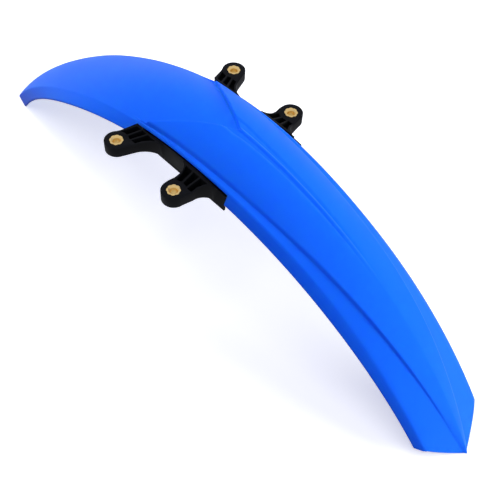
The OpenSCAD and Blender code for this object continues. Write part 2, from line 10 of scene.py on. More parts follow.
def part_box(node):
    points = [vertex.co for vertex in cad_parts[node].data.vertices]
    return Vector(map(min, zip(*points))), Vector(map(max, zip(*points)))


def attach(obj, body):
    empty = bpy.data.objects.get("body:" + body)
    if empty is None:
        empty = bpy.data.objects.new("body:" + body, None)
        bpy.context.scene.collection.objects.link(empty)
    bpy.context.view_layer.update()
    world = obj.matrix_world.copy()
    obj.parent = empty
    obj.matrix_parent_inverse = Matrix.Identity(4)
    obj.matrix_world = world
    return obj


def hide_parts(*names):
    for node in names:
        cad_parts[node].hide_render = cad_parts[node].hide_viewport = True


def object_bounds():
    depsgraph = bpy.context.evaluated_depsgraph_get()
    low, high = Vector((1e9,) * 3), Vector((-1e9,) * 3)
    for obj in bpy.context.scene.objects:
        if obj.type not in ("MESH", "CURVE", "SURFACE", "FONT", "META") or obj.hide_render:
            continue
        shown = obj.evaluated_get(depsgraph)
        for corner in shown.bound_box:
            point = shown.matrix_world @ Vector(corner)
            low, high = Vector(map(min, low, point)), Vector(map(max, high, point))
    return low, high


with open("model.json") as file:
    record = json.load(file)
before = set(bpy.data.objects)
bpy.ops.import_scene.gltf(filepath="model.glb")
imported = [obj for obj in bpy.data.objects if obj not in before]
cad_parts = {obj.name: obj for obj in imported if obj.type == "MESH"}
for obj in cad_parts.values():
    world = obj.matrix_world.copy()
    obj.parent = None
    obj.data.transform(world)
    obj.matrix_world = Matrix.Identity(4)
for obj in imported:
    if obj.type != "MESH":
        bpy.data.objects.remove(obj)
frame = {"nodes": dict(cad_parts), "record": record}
cad_low, cad_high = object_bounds()
MM = 0.001

# The blade is one long arched shell of coloured polypropylene, injection moulded with an even wall.
# Its raised panel starts at a chevron over the wheel and narrows to a ridge at the nose, and its
# flanks are cut back to a lip where the fork brace comes out.
axle_drop = 356
axle_ahead = 15
floor_over_axle = axle_drop + cad_low.z / MM
wall = 3.0

# Sections at five even stations, from the tail to the nose, in millimetres from the wheel's axle and
# from the middle. Angles are in degrees round the axle, from straight up, with the nose ahead.
crown_r = [378, 365, 380, 386, 386.5]
fold_y = [35, 40, 43.5, 39, 34]
fold_r = [370, 357.5, 364.5, 371.5, 381.5]
edge_y = [38.5, 51, 48.5, 45, 39]
edge_r = [354.5, 350, 353, 363.5, 375]
flank_bulge = 0.2
nose_sweep = 4.5
over_axle = 2
end_angle = math.degrees(math.acos(floor_over_axle / fold_r[-1]))
station_gap = 2 * end_angle / (len(fold_r) - 1)

# The raised panel's edge, at four even places from the chevron to the nose
panel_y = [40.5, 34.5, 21.5, 2]
panel_r = [364, 370.5, 382.5, 386.5]
panel_step = [4, 2.64, 2.4, 0.1]
panel_rise_ends = (4.5, 1.5)
panel_power_ends = (2.0, 1.4)
step_width = 1.0
strip_crown = 0.7
strip_drop_power = 12
chevron_ahead = 28.6
chevron_run = 3.4
notch_start = 0.65
rear_bolt_x = frame["record"]["mounts"][0]["dims"]["spacing_x_mm"] / 2
chevron_angle = math.degrees(chevron_ahead / fold_r[over_axle])
run_angle = math.degrees(chevron_run / crown_r[over_axle])
notch_rear_angle = math.degrees(math.asin((axle_ahead + rear_bolt_x + notch_start) / fold_r[over_axle]))
chevron_sweep = chevron_angle - run_angle + notch_rear_angle
nose_angle = math.degrees(math.acos(floor_over_axle / (crown_r[-1] + panel_rise_ends[1] - wall)))
panel_start = chevron_angle - chevron_sweep
panel_gap = (nose_angle - panel_start) / (len(panel_y) - 1)

# The low spine on the panel stands in a shallow trough; the trough narrows, and both fade out ahead
spine_height = 0.5
spine_width = 2.6
trough_half_ends = (8.5, 3)
trough_panel_share = 1 / 3
trough_depth = 0.9
trough_wall = 1.8
spine_end = 30

# How far each corner is rounded off, along both of its sides
panel_soft = 1.0
crease_soft = 0.4
fold_soft = 1.2
rim_soft = 1.3
end_soft = 1.3

# The most of the room beside a corner that its rounding takes up; on the flank it stops a little short
panel_soft_share = 1 / 3
crease_soft_share = 0.4
fold_soft_share = 0.5
flank_soft_share = 0.9

# The notch that the brace comes out of
notch_lip = 2.0
notch_gap = 0.6
notch_front_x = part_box("fork_brace")[1][0] / MM + notch_gap
flank_end_slant = 1


def mix(first, second, share):
    return first + (second - first) * share


def curve(values, place):
    """Smooth curve through evenly spaced values, at a place counted in gaps."""
    values = np.asarray(values, float)
    slopes = np.gradient(values)
    i = np.clip(np.floor(place), 0, len(values) - 2).astype(int)
    u = place - i
    return ((2 * u**3 - 3 * u**2 + 1) * values[i] + (u**3 - 2 * u**2 + u) * slopes[i]
            + (3 * u**2 - 2 * u**3) * values[i + 1] + (u**3 - u**2) * slopes[i + 1])


def section(values, angle):
    """A size of the section at an angle."""
    return curve(values, (angle + end_angle) / station_gap)


def along_panel(values, angle):
    """A size of the panel at an angle; behind the chevron it keeps its first value."""
    return curve(values, np.maximum(0, (angle - panel_start) / panel_gap))


def spot(half_width, radius):
    """A place in the section."""
    return np.stack([half_width, radius], axis=-1)


def tail_top(angle, y):
    """The plain arch, which falls from the crown to the fold in a parabola."""
    crown, fold = section(crown_r, angle), section(fold_r, angle)
    return spot(y, crown - (crown - fold) * (y / section(fold_y, angle)) ** 2)


def panel_edge(angle):
    return along_panel(panel_y, angle)


def panel_top(angle, y):
    """The raised panel, from its crown to the upper edge of the step down to the strip."""
    rise = mix(*panel_rise_ends, (angle - chevron_angle) / (nose_angle - chevron_angle))
    top = section(crown_r, angle) + rise
    foot = along_panel(panel_r, angle) + along_panel(panel_step, angle)
    power = mix(*panel_power_ends, np.clip((angle - chevron_angle) / station_gap, 0, 1))
    return spot(y, top - (top - foot) * np.minimum(1, y / panel_edge(angle)) ** power)


def trough_fade(angle):
    """From 0 at the chevron's point to 1 where the trough and the spine have gone."""
    return np.clip((angle - chevron_angle) / (spine_end - chevron_angle), 0, 1)


def trough_half(angle):
    return np.minimum(mix(*trough_half_ends, trough_fade(angle)**0.5),
                      trough_panel_share * panel_edge(angle))


def spine_top(angle, y):
    """The panel's top with the trough sunk into it and the spine standing in the trough."""
    in_trough = 1 - np.clip((y - trough_half(angle)) / trough_wall + 1, 0, 1)
    on_spine = (1 + np.cos(math.pi * np.clip(y / spine_width, 0, 1))) / 2
    lift = (trough_depth + spine_height) * on_spine - trough_depth * in_trough
    return panel_top(angle, y) + spot(0 * y, lift * (1 - trough_fade(angle)**3))


def strip_top(angle, y):
    """The strip beside the panel, which has a slight crown and drops to the fold."""
    share = np.clip((y - panel_edge(angle)) / (section(fold_y, angle) - panel_edge(angle)), 0, 1)
    flat = mix(along_panel(panel_r, angle), section(fold_r, angle), share)
    return spot(y, flat + strip_crown * share * (1 - share**strip_drop_power))


def panel_soft_start(angle):
    room = panel_edge(angle) - trough_half(angle)
    return panel_edge(angle) - np.minimum(panel_soft, panel_soft_share * room)


def strip_start(angle):
    return panel_edge(angle) + step_width


def strip_room(angle):
    """How wide the strip is between the step and the fold."""
    return section(fold_y, angle) - strip_start(angle)


def strip_soft_start(angle):
    return strip_start(angle) + np.minimum(crease_soft, crease_soft_share * strip_room(angle))


def strip_soft_end(angle):
    return section(fold_y, angle) - np.minimum(fold_soft, fold_soft_share * strip_room(angle))


def no_width(angle):
    """The half width of the line in the middle."""
    return 0 * angle


def bend(before, corner, after, count):
    """Lines that round a corner off; each line gives its spot in the section at an angle."""
    def line(s):
        return lambda a: (1 - s) ** 2 * before(a) + 2 * s * (1 - s) * corner(a) + s**2 * after(a)
    return [line(s) for s in np.linspace(0, 1, count)]


def spread(top, first, last, count):
    """Lines at even steps on one surface, between two half widths."""
    def line(s):
        return lambda a: top(a, mix(first(a), last(a), s))
    return [line(s) for s in np.linspace(0, 1, count)]


def line_on(top, half_width):
    """The line on a surface at one half width."""
    return lambda a: top(a, half_width(a))


def halfway(first, second):
    return lambda a: (first(a) + second(a)) / 2


# The lines of one half of the top run from the middle to the fold
panel_corner = line_on(panel_top, panel_edge)
crease = line_on(strip_top, strip_start)
step_side = halfway(panel_corner, crease)
spine_lines = spread(spine_top, no_width, trough_half, count=15)
panel_lines = spread(panel_top, trough_half, panel_soft_start, count=22)[1:-1]
corner_lines = bend(line_on(panel_top, panel_soft_start), panel_corner, step_side, count=5)
crease_lines = bend(step_side, crease, line_on(strip_top, strip_soft_start), count=5)[1:]
strip_lines = spread(strip_top, strip_soft_start, strip_soft_end, count=10)[1:]
top_lines = spine_lines + panel_lines + corner_lines + crease_lines + strip_lines
top_count = len(top_lines)
strip_first = top_count - len(crease_lines + strip_lines)
fold_line_count = 7
flank_line_count = 9
line_count = top_count + fold_line_count + flank_line_count
rim_turns = np.radians([30, 60, 90])


def share_of_half(line, angle):
    """How far out a line lies: 0 in the middle, 1 at the fold."""
    return line(angle)[..., 0] / section(fold_y, angle)


# Where each line meets the chevron and the nose. A line's meeting with the chevron moves with its own
# half width, so it is found in a few rounds. The flanks' lines keep to the fold's angle.
meeting_rounds = 6
chevron_line = np.full(line_count, float(panel_start))
for k, line in enumerate(top_lines):
    meeting = float(panel_start)
    for meeting_round in range(meeting_rounds):
        meeting = chevron_angle - chevron_sweep * share_of_half(line, meeting)
    chevron_line[k] = meeting
nose_line = np.full(line_count, nose_angle - nose_sweep)
nose_line[:top_count] = [nose_angle - nose_sweep * share_of_half(line, nose_angle) for line in top_lines]
nose_line[top_count:-flank_line_count] = np.linspace(nose_line[top_count - 1], nose_line[-1],
                                                     fold_line_count)
flank_sweep = nose_sweep * (edge_y[-1] / fold_y[-1] - 1)
nose_line[-flank_line_count:] -= flank_sweep * np.linspace(0, 1, flank_line_count)
chevron_share = np.array([share_of_half(line, chevron_line[k]) for k, line in enumerate(top_lines)])
even_share = np.linspace(0, 1 - fold_soft / fold_y[0], top_count)
bunching = 3


def tail_spot(k, angle):
    """A line of the tail: it spreads out evenly with the distance from the chevron."""
    near = np.clip((angle + end_angle) / (panel_start - run_angle + end_angle), 0, 1) ** bunching
    return tail_top(angle, mix(even_share[k], chevron_share[k], near) * section(fold_y, angle))


# The chevron's face is a slope with rounded ends; on the strips it fades out behind, over several runs
ramp_soft = 0.2
strip_fade = 5


def ramp(w):
    """From 0 to 1 with the ends of the slope rounded off."""
    f = ramp_soft
    low = (w + f) ** 2 / (4 * f)
    high = 1 - (1 + f - w) ** 2 / (4 * f)
    slope = np.where(w < f, low, np.where(w > 1 - f, high, w))
    return np.where(w < -f, 0, np.where(w > 1 + f, 1, slope))


def panel_share(k, angle):
    """How far the skin has risen from the tail's surface to the panel's."""
    w = (angle - chevron_line[k] + run_angle) / run_angle
    if k < strip_first:
        return ramp(w)
    t = np.clip((w + strip_fade) / (strip_fade + 1), 0, 1)
    return t * t * (3 - 2 * t)


def notch_angle(radius):
    """Where the notch's upright front end is at a radius."""
    return np.degrees(np.arcsin((notch_front_x - axle_ahead) / radius))


# Rows of the blade: its rounded tail end, the tail, the chevron's slope, the front and the rounded nose
tail_row_count = 72
ramp_row_count = 11
front_row_count = 110
row_gap = 0.003
slit = 0.0004
ramp_row_start = 0.02
flank_end_start = 0.1
notch_fold_r = float(section(fold_r, notch_angle(fold_r[over_axle])))
notch_share = (notch_angle(notch_fold_r) - panel_start) / (nose_line[-1] - panel_start)
upright_share = 0.2
upright_fade = upright_share * (1 - notch_share)
end_steps = np.array([0, 0.07, 0.25, 0.55, 0.8]) * end_soft
end_insets = end_soft - np.sqrt(end_soft**2 - (end_soft - end_steps) ** 2)

# Two rows lie a slit apart at the front end of the notch, and no even row comes close to them
front_shares = np.linspace(0, 1, front_row_count)
front_shares = front_shares[np.abs(front_shares - notch_share) > row_gap]
front_shares = np.sort(np.append(front_shares, [notch_share - slit, notch_share]))


def blade_rows(start_line):
    """Each row's angles, whether its flank is whole, how upright its lines stand and its inset."""
    rows, whole, upright, inset = [], [], [], []

    def add(angles, is_whole, stands, drawn_in):
        rows.append(angles)
        whole.append(is_whole)
        upright.append(stands)
        inset.append(drawn_in)

    depth_share = np.zeros(line_count)
    depth_share[-flank_line_count:] = np.linspace(flank_end_start, 1, flank_line_count)
    tail_end = chevron_line - run_angle * (1 + ramp_soft) - flank_end_slant * depth_share
    for step, drawn_in in zip(end_steps, end_insets):
        add(start_line + math.degrees(step / fold_r[0]), True, 0, drawn_in)
    first = start_line + math.degrees(end_soft / fold_r[0])
    for t in np.linspace(0, 1, tail_row_count):
        add(mix(first, tail_end, t), True, 0, 0)
    for w in np.linspace(-ramp_soft + ramp_row_start, 1 + ramp_soft, ramp_row_count):
        add(chevron_line - run_angle * (1 - w), False, 0, 0)
    front_start = chevron_line + run_angle * ramp_soft
    front_end = nose_line - math.degrees(end_soft / crown_r[-1])
    for t in front_shares[1:]:
        is_whole = t >= notch_share
        stands = max(0, 1 - (t - notch_share) / upright_fade) if is_whole else 0
        add(mix(front_start, front_end, t), is_whole, stands, 0)
    for step, drawn_in in zip(end_steps[::-1], end_insets[::-1]):
        add(nose_line - math.degrees(step / crown_r[-1]), True, 0, drawn_in)
    return np.array(rows), np.array(whole), np.array(upright), np.array(inset)


def outward(spots, reach=3.0):
    """Outward direction in each section, taken over a few millimetres so that small steps don't sway it."""
    result = np.zeros_like(spots)
    for i, row in enumerate(spots):
        steps = np.linalg.norm(np.diff(row, axis=0), axis=1)
        s = np.concatenate([[0], np.cumsum(steps)])
        tail = row[-1] + (row[-1] - row[-2]) / steps[-1] * 2 * reach
        whole_s = np.concatenate([-s[:0:-1], s, [s[-1] + 2 * reach]])
        whole_row = np.concatenate([row[:0:-1] * [-1, 1], row, [tail]])
        ahead = [np.interp(s + reach, whole_s, whole_row[:, c]) for c in (0, 1)]
        behind = [np.interp(s - reach, whole_s, whole_row[:, c]) for c in (0, 1)]
        chord = np.array(ahead) - np.array(behind)
        result[i] = np.stack([-chord[1], chord[0]], axis=-1) / np.linalg.norm(chord, axis=0)[:, None]
    return result


def blade_skin(start_line, outer):
    """The outer or the inner skin as angle, half width and radius of each row and line."""
    angles, whole, upright, inset = blade_rows(start_line)
    spots = np.zeros(angles.shape + (2,))
    for k, line in enumerate(top_lines):
        a = angles[:, k]
        spots[:, k] = mix(tail_spot(k, a), line(a), panel_share(k, a)[:, None])

    # The fold is rounded off between the top's last line and the flank, whole or cut back
    a = angles[:, top_count]
    fold = spot(section(fold_y, a), section(fold_r, a))
    edge = spot(section(edge_y, a), section(edge_r, a))
    full_length = np.linalg.norm(edge - fold, axis=1)
    length = np.where(whole, full_length, notch_lip)
    fold_after = flank_soft_share * np.minimum(fold_soft, length - rim_soft)
    down = (edge - fold) / full_length[:, None]
    bulge = np.where(whole, flank_bulge, 0)
    for j in range(fold_line_count):
        s = (j + 1) / fold_line_count
        before = spots[:, top_count - 1]
        after = fold + down * fold_after[:, None]
        after[:, 0] += bulge * np.sin(math.pi * fold_after / full_length)
        spots[:, top_count + j] = (1 - s) ** 2 * before + 2 * s * (1 - s) * fold + s**2 * after

    # The flank's lines lean at the rear end of the notch and stand upright at its front end
    for j in range(flank_line_count):
        k = top_count + fold_line_count + j
        depth = mix(fold_after, length - rim_soft, (j + 1) / flank_line_count)
        rough_r = fold[:, 1] + down[:, 1] * depth
        angles[:, k] = mix(angles[:, k], notch_angle(rough_r), upright)
        a = angles[:, k]
        fold_here = spot(section(fold_y, a), section(fold_r, a))
        edge_here = spot(section(edge_y, a), section(edge_r, a))
        share = depth / full_length
        spots[:, k] = mix(fold_here, edge_here, share[:, None])
        spots[:, k, 0] += bulge * np.sin(math.pi * share)

    # Each skin lies its own depth inside the section, and turns round the lower rim
    across = outward(spots)
    depth = inset if outer else wall - inset
    skin = spots - depth[:, None, None] * across
    end, side = spots[:, -1], across[:, -1]
    along = np.stack([side[:, 1], -side[:, 0]], axis=-1)
    centre = end - (rim_soft if outer else wall - rim_soft) * side
    facing = 1 if outer else -1
    size = (rim_soft - inset)[:, None]
    rim = [centre + size * (facing * math.cos(t) * side + math.sin(t) * along) for t in rim_turns]
    skin = np.concatenate([skin, np.stack(rim, axis=1)], axis=1)
    angles = np.concatenate([angles, np.repeat(angles[:, -1:], len(rim), axis=1)], axis=1)
    return angles, skin


floor_rounds = 5


def standing_skin(outer):
    """A skin whose first row lies in the floor's plane, which takes a few rounds to find."""
    start_line = np.full(line_count, -float(end_angle))
    for floor_round in range(floor_rounds):
        angles, skin = blade_skin(start_line, outer)
        start_line = -np.degrees(np.arccos(floor_over_axle / skin[0, :line_count, 1]))
    angles[0] = -np.degrees(np.arccos(floor_over_axle / skin[0, :, 1]))
    return angles, skin


def skin_points(angles, skin):
    """Rows of points in metres, from the right rim over the middle to the left rim."""
    a, r = np.radians(angles), skin[..., 1]
    x = axle_ahead + r * np.sin(a)
    z = np.maximum(r * np.cos(a), floor_over_axle) - axle_drop
    left = np.stack([x, skin[..., 0], z], axis=-1) * MM
    right = left[:, :0:-1] * [1, -1, 1]
    return np.concatenate([right, left], axis=1)


def shell_faces(row_count, column_count):
    """Quads of an outer and an inner skin and of the walls that join their four sides."""
    skin = row_count * column_count

    def at(i, j):
        return i * column_count + j

    faces = []
    for i in range(row_count - 1):
        for j in range(column_count - 1):
            quad = (at(i, j), at(i, j + 1), at(i + 1, j + 1), at(i + 1, j))
            faces += [quad, tuple(skin + n for n in reversed(quad))]
        faces.append((at(i, 0), at(i + 1, 0), skin + at(i + 1, 0), skin + at(i, 0)))
        j = column_count - 1
        faces.append((at(i + 1, j), at(i, j), skin + at(i, j), skin + at(i + 1, j)))
    for j in range(column_count - 1):
        faces.append((at(0, j + 1), at(0, j), skin + at(0, j), skin + at(0, j + 1)))
        i = row_count - 1
        faces.append((at(i, j), at(i, j + 1), skin + at(i, j + 1), skin + at(i, j)))
    return faces


def in_scene(name, data):
    """A new object at the origin that holds a mesh, a lamp or a camera."""
    new_object = bpy.data.objects.new(name, data)
    bpy.context.scene.collection.objects.link(new_object)
    return new_object


def smooth(mesh, sharp_degrees):
    """Smooth shading, with edges kept sharp past an angle."""
    mesh.shade_smooth()
    mesh.set_sharp_from_angle(angle=math.radians(sharp_degrees))


def piece_from(name, points, faces, material, sharp_degrees):
    mesh = bpy.data.meshes.new(name)
    mesh.from_pydata([tuple(p) for p in points], [], faces)
    mesh.update()
    mesh.materials.append(material)
    smooth(mesh, sharp_degrees)
    return in_scene(name, mesh)


def ring_faces(ring_count, segments):
    """Quads between rings of points, from each ring to the next and from the last to the first."""
    faces = []
    for i in range(ring_count):
        for j in range(segments):
            n = (j + 1) % segments
            m = (i + 1) % ring_count
            faces.append((i * segments + j, i * segments + n, m * segments + n, m * segments + j))
    return faces


def turned(profile, centre, segments=48):
    """Points and quads of a ring-shaped body: a closed profile of radius and height, turned upright."""
    turns = np.linspace(0, 2 * math.pi, segments, endpoint=False)
    points = [Vector((r * math.cos(t), r * math.sin(t), z)) + centre for r, z in profile for t in turns]
    return points, ring_faces(len(profile), segments)


def box_middle(node):
    low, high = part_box(node)
    return (Vector(low) + Vector(high)) / 2


grain_depth = 0.0001


def plastic(name, colour, roughness, specular, grain, grain_size):
    """Moulded plastic: one colour all through, with the fine grain of the mould on it."""
    material = bpy.data.materials.new(name)
    material.use_nodes = True
    nodes, links = material.node_tree.nodes, material.node_tree.links
    shader = nodes["Principled BSDF"]
    shader.inputs["Base Color"].default_value = (*colour, 1)
    shader.inputs["Roughness"].default_value = roughness
    shader.inputs["IOR"].default_value = 1.49
    shader.inputs["Specular IOR Level"].default_value = specular
    place = nodes.new("ShaderNodeTexCoord")
    noise = nodes.new("ShaderNodeTexNoise")
    noise.inputs["Scale"].default_value = 1 / grain_size
    noise.inputs["Detail"].default_value = 2
    bump = nodes.new("ShaderNodeBump")
    bump.inputs["Strength"].default_value = grain
    bump.inputs["Distance"].default_value = grain_depth
    links.new(place.outputs["Object"], noise.inputs["Vector"])
    links.new(noise.outputs["Fac"], bump.inputs["Height"])
    links.new(bump.outputs["Normal"], shader.inputs["Normal"])
    return material


blue_plastic = plastic("blue_plastic", (0.010, 0.178, 0.860), roughness=0.45, specular=0.15,
                       grain=0.12, grain_size=0.0012)
blue_shader = blue_plastic.node_tree.nodes["Principled BSDF"]
blue_shader.inputs["Subsurface Weight"].default_value = 0.6
blue_shader.inputs["Subsurface Radius"].default_value = (0.1, 0.25, 1.0)
blue_shader.inputs["Subsurface Scale"].default_value = 0.004

# Four short bosses under the blade take the screws; each foot stands on the brace. A boss is a ring
# whose blind end is closed to a pinhole, and its top follows the slope of the skin that it runs into.
boss_r = 4.0
boss_hole_r = 2.2
boss_length = 8
boss_roof = 1.5
boss_pinhole_r = 0.01
boss_edge = 0.3
boss_into_wall = 1.2
screw_head_height = 3.4
screw_seat = 3.0
screw_names = ["screw_rear_right", "screw_front_right", "screw_rear_left", "screw_front_left"]

outer_points = skin_points(*standing_skin(True))
inner_points = skin_points(*standing_skin(False))
row_count, column_count = outer_points.shape[:2]
outer_flat = outer_points.reshape(-1, 3)
inner_flat = inner_points.reshape(-1, 3)
blade_points = [tuple(p) for p in np.concatenate([outer_flat, inner_flat])]
blade_faces = shell_faces(row_count, column_count)
boss_hole_top = boss_length - boss_roof
boss_near_top = boss_length - boss_roof / 2
boss_profile = [
    (boss_r - boss_edge, 0), (boss_r, boss_edge), (boss_r, boss_length), (boss_pinhole_r, boss_length),
    (boss_pinhole_r, boss_hole_top), (boss_hole_r, boss_hole_top), (boss_hole_r, boss_edge),
    (boss_hole_r + boss_edge, 0)]
for name in screw_names:
    foot = box_middle(name)
    foot.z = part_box(name)[0][2] + (screw_head_height + screw_seat) * MM
    points, faces = turned([(r * MM, z * MM) for r, z in boss_profile], foot)
    for point in points:
        if point.z - foot.z > boss_near_top * MM:
            away = np.hypot(inner_flat[:, 0] - point.x, inner_flat[:, 1] - point.y)
            point.z = inner_flat[np.argmin(away), 2] + boss_into_wall * MM
    offset = len(blade_points)
    blade_points += [tuple(p) for p in points]
    blade_faces += [tuple(offset + n for n in face) for face in faces]
blade = piece_from("blade_shell", blade_points, blade_faces, blue_plastic,
                   sharp_degrees=38)
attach(blade, "root")
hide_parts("blade")

# The fork brace is one moulding of black glass-filled nylon: two rails and two cross beams under the
# blade, and four lugs on ribbed arms. All its edges are broken by a small mould radius.
brace_edge = 0.45
black_nylon = plastic("black_nylon", (0.0018, 0.002, 0.002), roughness=0.55, specular=0.12,
                      grain=0.3, grain_size=0.0008)
merge_distance = 0.002
flat_degrees = 1


def apply_modifiers(piece, sharp_degrees):
    """Turns what a piece's modifiers make of it into its plain mesh."""
    mesh = bpy.data.meshes.new_from_object(piece.evaluated_get(bpy.context.evaluated_depsgraph_get()))
    piece.modifiers.clear()
    first_mesh = piece.data
    piece.data = mesh
    bpy.data.meshes.remove(first_mesh)
    mesh.name = piece.name
    smooth(mesh, sharp_degrees)


def softened_copy(node, name, material, width, segments, limit_degrees):
    """A merged copy of a solid from the frame, with its edges rounded off."""
    mesh = frame["nodes"][node].data.copy()
    mesh.name = name
    work = bmesh.new()
    work.from_mesh(mesh)
    bmesh.ops.remove_doubles(work, verts=work.verts, dist=merge_distance * MM)
    bmesh.ops.dissolve_limit(work, angle_limit=math.radians(flat_degrees), verts=work.verts,
                             edges=work.edges)
    work.to_mesh(mesh)
    work.free()
    mesh.materials.clear()
    mesh.materials.append(material)
    piece = in_scene(name, mesh)
    rounding = piece.modifiers.new("edges", "BEVEL")
    rounding.width = width * MM
    rounding.segments = segments
    rounding.limit_method = "ANGLE"
    rounding.angle_limit = math.radians(limit_degrees)
    apply_modifiers(piece, sharp_degrees=40)
    return piece


brace = softened_copy("fork_brace", "brace_moulding", black_nylon, brace_edge, segments=3,
                      limit_degrees=30)

# The rails' outer walls lean in a little towards the top, as the mould's draft
rail_wall_from = 46
rail_wall_to = 46.55
rail_foot_z = -13
rail_draft_height = 9
rail_draft = 1.1
for vertex in brace.data.vertices:
    y, z = vertex.co.y / MM, vertex.co.z / MM
    if rail_wall_from < abs(y) < rail_wall_to:
        lean = rail_draft * min(1, max(0, (z - rail_foot_z) / rail_draft_height))
        vertex.co.y -= math.copysign(lean, y) * MM
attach(brace, "root")
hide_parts("fork_brace")

# Four brass bushes are moulded into the lugs, so that the fork bolts can't crush the plastic. Each is
# turned from bar, with lobes that key it into the lug and a countersunk bore.
bush_r = 6.2
bush_core_r = 5.5
bush_shank_r = 4.8
bush_bore_r = 3.25
bush_mouth_r = 4.4
bush_mouth_depth = 1.2
bush_mouth_edge = 0.1
bush_edge = 0.3
bush_edge_middle = 0.3 * bush_edge
bush_lobes = 8
bush_lobe_height = 4.0
bush_lobe_power = 0.7
bush_turns_per_lobe = 16
bush_proud = 0.3
lug_height = 10
bush_names = ["bush_rear_right", "bush_front_right", "bush_rear_left", "bush_front_left"]


def metal(name, colour, roughness):
    material = bpy.data.materials.new(name)
    material.use_nodes = True
    shader = material.node_tree.nodes["Principled BSDF"]
    shader.inputs["Base Color"].default_value = (*colour, 1)
    shader.inputs["Metallic"].default_value = 1.0
    shader.inputs["Roughness"].default_value = roughness
    return material


def bush_form():
    """Points and quads of one upright bush: rings from the bore's foot round the outside and back."""
    swing = bush_r - bush_core_r
    rings = [
        (bush_bore_r, 0, -lug_height), (bush_shank_r, 0, -lug_height),
        (bush_shank_r, 0, -bush_lobe_height), (bush_core_r, swing, -bush_lobe_height),
        (bush_core_r, swing, bush_proud - bush_edge),
        (bush_core_r - bush_edge_middle, swing, bush_proud - bush_edge_middle),
        (bush_core_r - bush_edge, swing, bush_proud), (bush_mouth_r + bush_mouth_edge, 0, bush_proud),
        (bush_mouth_r, 0, bush_proud - bush_mouth_edge), (bush_bore_r, 0, bush_proud - bush_mouth_depth)]
    turns = np.linspace(0, 2 * math.pi, bush_turns_per_lobe * bush_lobes, endpoint=False)
    points = []
    for core, swing_here, height in rings:
        for t in turns:
            r = core + swing_here * abs(math.cos(bush_lobes / 2 * t)) ** bush_lobe_power
            points.append((r * math.cos(t) * MM, r * math.sin(t) * MM, height * MM))
    return points, ring_faces(len(rings), len(turns))


def math_node(nodes, operation):
    node = nodes.new("ShaderNodeMath")
    node.operation = operation
    return node


def four_places_tree():
    """Nodes that set one fastener at the corners of a rectangle, the front pair raised by a height."""
    tree = bpy.data.node_groups.new("four_places", "GeometryNodeTree")
    tree.is_modifier = True
    sockets = tree.interface
    sockets.new_socket("Fastener", in_out="INPUT", socket_type="NodeSocketGeometry")
    for name in ("Spacing Along", "Spacing Across", "Front Rise"):
        sockets.new_socket(name, in_out="INPUT", socket_type="NodeSocketFloat")
    sockets.new_socket("Centre", in_out="INPUT", socket_type="NodeSocketVector")
    sockets.new_socket("Finish", in_out="INPUT", socket_type="NodeSocketMaterial")
    sockets.new_socket("Fasteners", in_out="OUTPUT", socket_type="NodeSocketGeometry")
    nodes, links = tree.nodes, tree.links
    given = nodes.new("NodeGroupInput")
    result = nodes.new("NodeGroupOutput")
    grid = nodes.new("GeometryNodeMeshGrid")
    grid.inputs["Vertices X"].default_value = 2
    grid.inputs["Vertices Y"].default_value = 2
    links.new(given.outputs["Spacing Along"], grid.inputs["Size X"])
    links.new(given.outputs["Spacing Across"], grid.inputs["Size Y"])
    position = nodes.new("GeometryNodeInputPosition")
    parts = nodes.new("ShaderNodeSeparateXYZ")
    links.new(position.outputs["Position"], parts.inputs["Vector"])
    share = math_node(nodes, "DIVIDE")
    links.new(parts.outputs["X"], share.inputs[0])
    links.new(given.outputs["Spacing Along"], share.inputs[1])
    lift = math_node(nodes, "MULTIPLY")
    links.new(share.outputs["Value"], lift.inputs[0])
    links.new(given.outputs["Front Rise"], lift.inputs[1])
    raised = nodes.new("ShaderNodeCombineXYZ")
    links.new(lift.outputs["Value"], raised.inputs["Z"])
    shift = nodes.new("ShaderNodeVectorMath")
    shift.operation = "ADD"
    links.new(raised.outputs["Vector"], shift.inputs[0])
    links.new(given.outputs["Centre"], shift.inputs[1])
    move = nodes.new("GeometryNodeSetPosition")
    links.new(grid.outputs["Mesh"], move.inputs["Geometry"])
    links.new(shift.outputs["Vector"], move.inputs["Offset"])
    copies = nodes.new("GeometryNodeInstanceOnPoints")
    links.new(move.outputs["Geometry"], copies.inputs["Points"])
    links.new(given.outputs["Fastener"], copies.inputs["Instance"])
    real = nodes.new("GeometryNodeRealizeInstances")
    links.new(copies.outputs["Instances"], real.inputs["Geometry"])
    finish = nodes.new("GeometryNodeSetMaterial")
    links.new(real.outputs["Geometry"], finish.inputs["Geometry"])
    links.new(given.outputs["Finish"], finish.inputs["Material"])
    links.new(finish.outputs["Geometry"], result.inputs["Fasteners"])
    return tree


four_places = four_places_tree()


def set_in_four_places(piece, names, material, sharp_degrees):
    """Repeats a piece at the centres of four nodes that are named from the rear right to the front left."""
    rear_right, front_right, rear_left = [box_middle(name) for name in names[:3]]
    values = {
        "Spacing Along": front_right.x - rear_right.x, "Spacing Across": rear_left.y - rear_right.y,
        "Front Rise": front_right.z - rear_right.z, "Finish": material,
        "Centre": Vector(((front_right.x + rear_right.x) / 2, (rear_left.y + rear_right.y) / 2,
                          (front_right.z + rear_right.z) / 2))}
    modifier = piece.modifiers.new("places", "NODES")
    modifier.node_group = four_places
    for item in four_places.interface.items_tree:
        if item.item_type == "SOCKET" and item.name in values:
            modifier[item.identifier] = values[item.name]
    bpy.context.view_layer.update()
    apply_modifiers(piece, sharp_degrees)


brass = metal("brass", (0.98, 0.71, 0.26), roughness=0.42)
bushes = piece_from("bushes", *bush_form(), brass, sharp_degrees=30)
bush_middle = (bush_proud - lug_height) / 2 * MM
bushes.data.transform(Matrix.Translation((0, 0, -bush_middle)))
set_in_four_places(bushes, bush_names, brass, sharp_degrees=30)
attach(bushes, "root")
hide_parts(*bush_names)

